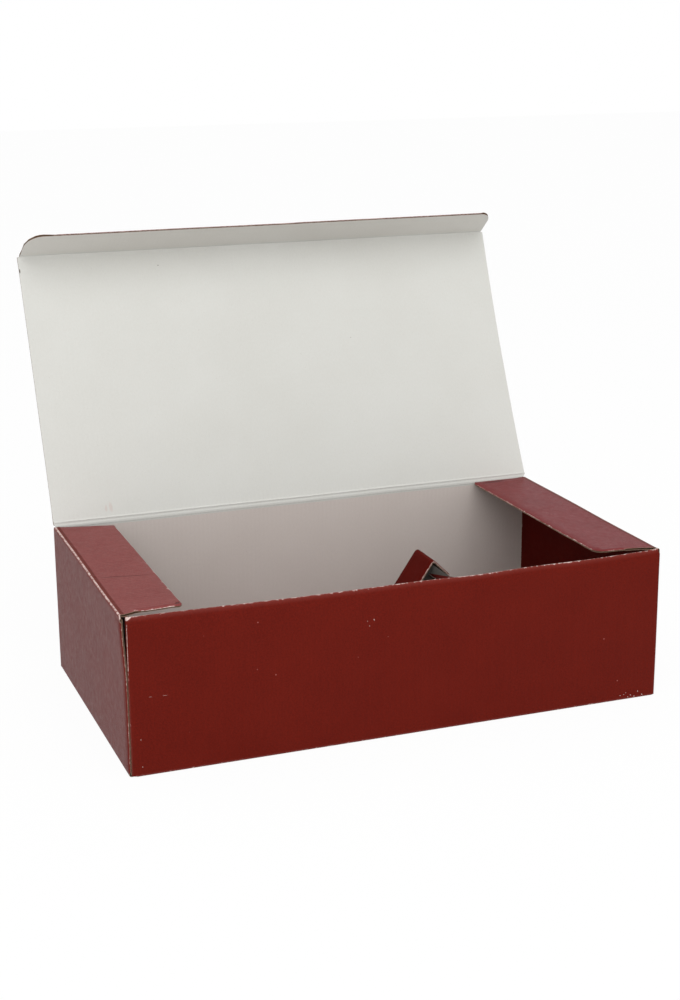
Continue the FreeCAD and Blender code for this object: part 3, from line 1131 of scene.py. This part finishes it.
inner = {
    "leftX": -180.75,  # middles of the liner's end panels
    "rightX": 182.35,
    "floorZ": 4.05,
    "topZ": 101.7,
    "halfWidth": 98.0,
    "notch": 6.5,
    "notchZ": 65.85,
}
divider = {
    "halfWidth": 15.0,
    "grid": 5.0,
    "cheek": ((30.0, 44.0), (100.0, 44.0), (100.0, 56.2), (80.5, 61.6), (80.5, 64.0), (69.2, 73.7),
              (57.0, 84.0), (55.8, 83.2)),
    "cheekY": 13.6,
    "corners": ((65.3, 66.75), (120.03, 51.57), (137.0, 5.65), (1.10, 5.65), (56.5, 86.25),
                (69.02, 74.03)),
}


def makeFolded(name, part, line, outline, spacing, flutes, wearLines, cutEdges=()):
    # A sheet of the inner board: u follows the line, v runs along y
    side = part["halfWidth"]
    cutsU = bendCuts(line) + evenCuts(0, lineLength(line), spacing)
    bm = layBoard(outline, cutsU, evenCuts(-side, side, spacing), board["insertThickness"])
    for start, end in flutes:
        addFluting(bm, start, end, board["insertThickness"])

    def placing(u, v, w):
        point = onLine(line, u, w)
        return Vector((point.x, v, point.y))

    return finishBoard(name, bm, placing, wearLines, cutEdges)


def makeLiner():
    radius = board["insertRadius"]
    line = foldLine([
        (inner["leftX"], inner["topZ"]),
        (inner["leftX"], inner["floorZ"], radius),
        (inner["rightX"], inner["floorZ"], radius),
        (inner["rightX"], inner["topZ"]),
    ])
    total = lineLength(line)
    side, notch = inner["halfWidth"], inner["notch"]
    down = inner["topZ"] - inner["notchZ"]
    outline = [(0, -side + notch), (down, -side + notch), (down, -side), (total - down, -side),
               (total - down, -side + notch), (total, -side + notch), (total, side), (0, side)]
    flutes = [((0, side), (0, -side + notch)), ((total, -side + notch), (total, side))]
    wearLines = [
        (0, -side, 0, side, 0.5, 0.8),
        (total, -side, total, side, 0.5, 0.8),
        (0, side, total, side, 0.52, 0.8),
        (0, -side, total, -side, 0.45, 0.8),
    ]
    return makeFolded("linerSheet", inner, line, outline, board["grid"], flutes, wearLines)


def makeDivider():
    radius = board["insertRadius"]
    line = foldLine([(x, z, radius) for x, z in divider["corners"]])
    total = lineLength(line)
    side = divider["halfWidth"]
    outline = [(0, -side), (total, -side), (total, side), (0, side)]
    flutes = [((0, -side), (total, -side)), ((total, side), (0, side))]
    wearLines = [
        (0, -side, total, -side, 0.58, 0.45),
        (0, side, total, side, 0.50, 0.45),
        (total, -side, total, side, 0.50, 0.45),
        (0, -side, 0, side, 0.62, 0.6),
    ]
    cutEdges = [wearLine[:4] for wearLine in wearLines]
    return makeFolded("dividerStrip", divider, line, outline, divider["grid"], flutes, wearLines, cutEdges)


def makeCheek():
    # The short cheek that closes the back of the ridge, wide enough to hide the view through it; its paper
    # is painted dark grey, painted shade under the lip
    outline = divider["cheek"]
    heights = [v for u, v in outline]
    cutsV = evenCuts(min(heights), max(heights), board["grid"])
    bm = layBoard(outline, [], cutsV, board["insertThickness"])
    cutEdges = [(*start, *end) for start, end in zip(outline, outline[1:])]

    def placing(u, v, w):
        return Vector((u, divider["cheekY"] + w, v))

    return finishBoard("dividerCheek", bm, placing, [], cutEdges)


linerSheet = makeLiner()
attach(linerSheet, "box")
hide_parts("bottle_liner")
dividerStrip = makeDivider()
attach(dividerStrip, "box")
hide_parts("bottle_divider")
dividerCheek = makeCheek()
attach(dividerCheek, "box")
print("liner and divider made")


# Floor, light and camera

studio = {
    "floorSize": 12.0,
    "floorColor": (0.93, 0.93, 0.93),
    "floorWash": 0.95,  # how much of the white that the camera sees is plain
    "ambient": 0.72,
    "key": 24.6,
    "keySize": 2.2,
    "keyPlace": (-0.35, -1.35, 1.75),
    "fill": 3.3,  # low, in front, for the faces that look down
    "fillSize": 1.0,
    "fillPlace": (-0.5, -1.5, 0.25),
    "aim": (0, 0, 0.1),
}


def whiteToCamera(tree):
    path = addNode(tree, "ShaderNodeLightPath")
    seen = calculate(tree, "MAXIMUM", path.outputs["Is Camera Ray"], path.outputs["Is Glossy Ray"])
    return calculate(tree, "MAXIMUM", seen, path.outputs["Is Transmission Ray"])


def makeFloor():
    bm = bmesh.new()
    bmesh.ops.create_grid(bm, x_segments=1, y_segments=1, size=studio["floorSize"] / 2)
    mesh = bpy.data.meshes.new("studioFloor")
    bm.to_mesh(mesh)
    bm.free()
    material, tree = newMaterial("floorPaper")
    matte = addNode(tree, "ShaderNodeBsdfDiffuse", {"Color": (*studio["floorColor"], 1.0)})
    white = addNode(tree, "ShaderNodeEmission", {"Color": (1, 1, 1, 1), "Strength": 1.0})
    wash = calculate(tree, "MULTIPLY", whiteToCamera(tree), studio["floorWash"])
    both = addNode(tree, "ShaderNodeMixShader", {0: wash, 1: matte.outputs[0], 2: white.outputs[0]})
    addNode(tree, "ShaderNodeOutputMaterial", {0: both.outputs[0]})
    mesh.materials.append(material)
    floor = bpy.data.objects.new("studioFloor", mesh)
    bpy.context.scene.collection.objects.link(floor)
    return floor


def makeWorld():
    world = bpy.data.worlds.new("studioWhite")
    world.use_nodes = True
    tree = world.node_tree
    tree.nodes.clear()
    strength = spread(tree, whiteToCamera(tree), 0.0, 1.0, studio["ambient"], 1.0)
    sky = addNode(tree, "ShaderNodeBackground", {"Color": (1, 1, 1, 1), "Strength": strength})
    addNode(tree, "ShaderNodeOutputWorld", {0: sky.outputs[0]})
    bpy.context.scene.world = world


def makeLight(name):
    light = bpy.data.lights.new(name + "Light", "AREA")
    light.energy = studio[name]
    light.size = studio[name + "Size"]
    lamp = bpy.data.objects.new(name + "Light", light)
    lamp.location = studio[name + "Place"]
    aim = Vector(studio["aim"]) - lamp.location
    lamp.rotation_euler = aim.to_track_quat("-Z", "Y").to_euler()
    bpy.context.scene.collection.objects.link(lamp)


view = {
    "lens": 62.47,
    "sensor": 36.0,
    "farthest": 50.0,
    "place": (-409.818, -1068.403, 455.291),
    "azimuth": -20.657,
    "elevation": 15.757,
    "roll": -0.349,
}


def makeCamera():
    turn, rise, roll = [math.radians(view[key]) for key in ("azimuth", "elevation", "roll")]
    back = Vector((math.sin(turn) * math.cos(rise), -math.cos(turn) * math.cos(rise), math.sin(rise)))
    right = Vector((math.cos(turn), math.sin(turn), 0))
    up = back.cross(right)
    rolledRight = right * math.cos(roll) + up * math.sin(roll)
    rolledUp = up * math.cos(roll) - right * math.sin(roll)
    camera = bpy.data.cameras.new("photoCamera")
    camera.lens = view["lens"]
    camera.sensor_width = view["sensor"]
    camera.clip_end = view["farthest"]
    holder = bpy.data.objects.new("photoCamera", camera)
    turned = Matrix((rolledRight, rolledUp, back)).transposed().to_4x4()
    holder.matrix_world = Matrix.Translation(Vector(view["place"]) * toMetres) @ turned
    bpy.context.scene.collection.objects.link(holder)
    bpy.context.scene.camera = holder


makeFloor()
makeWorld()
makeLight("key")
makeLight("fill")
makeCamera()
bpy.context.scene.view_settings.view_transform = "Standard"
print("floor, light and camera set")
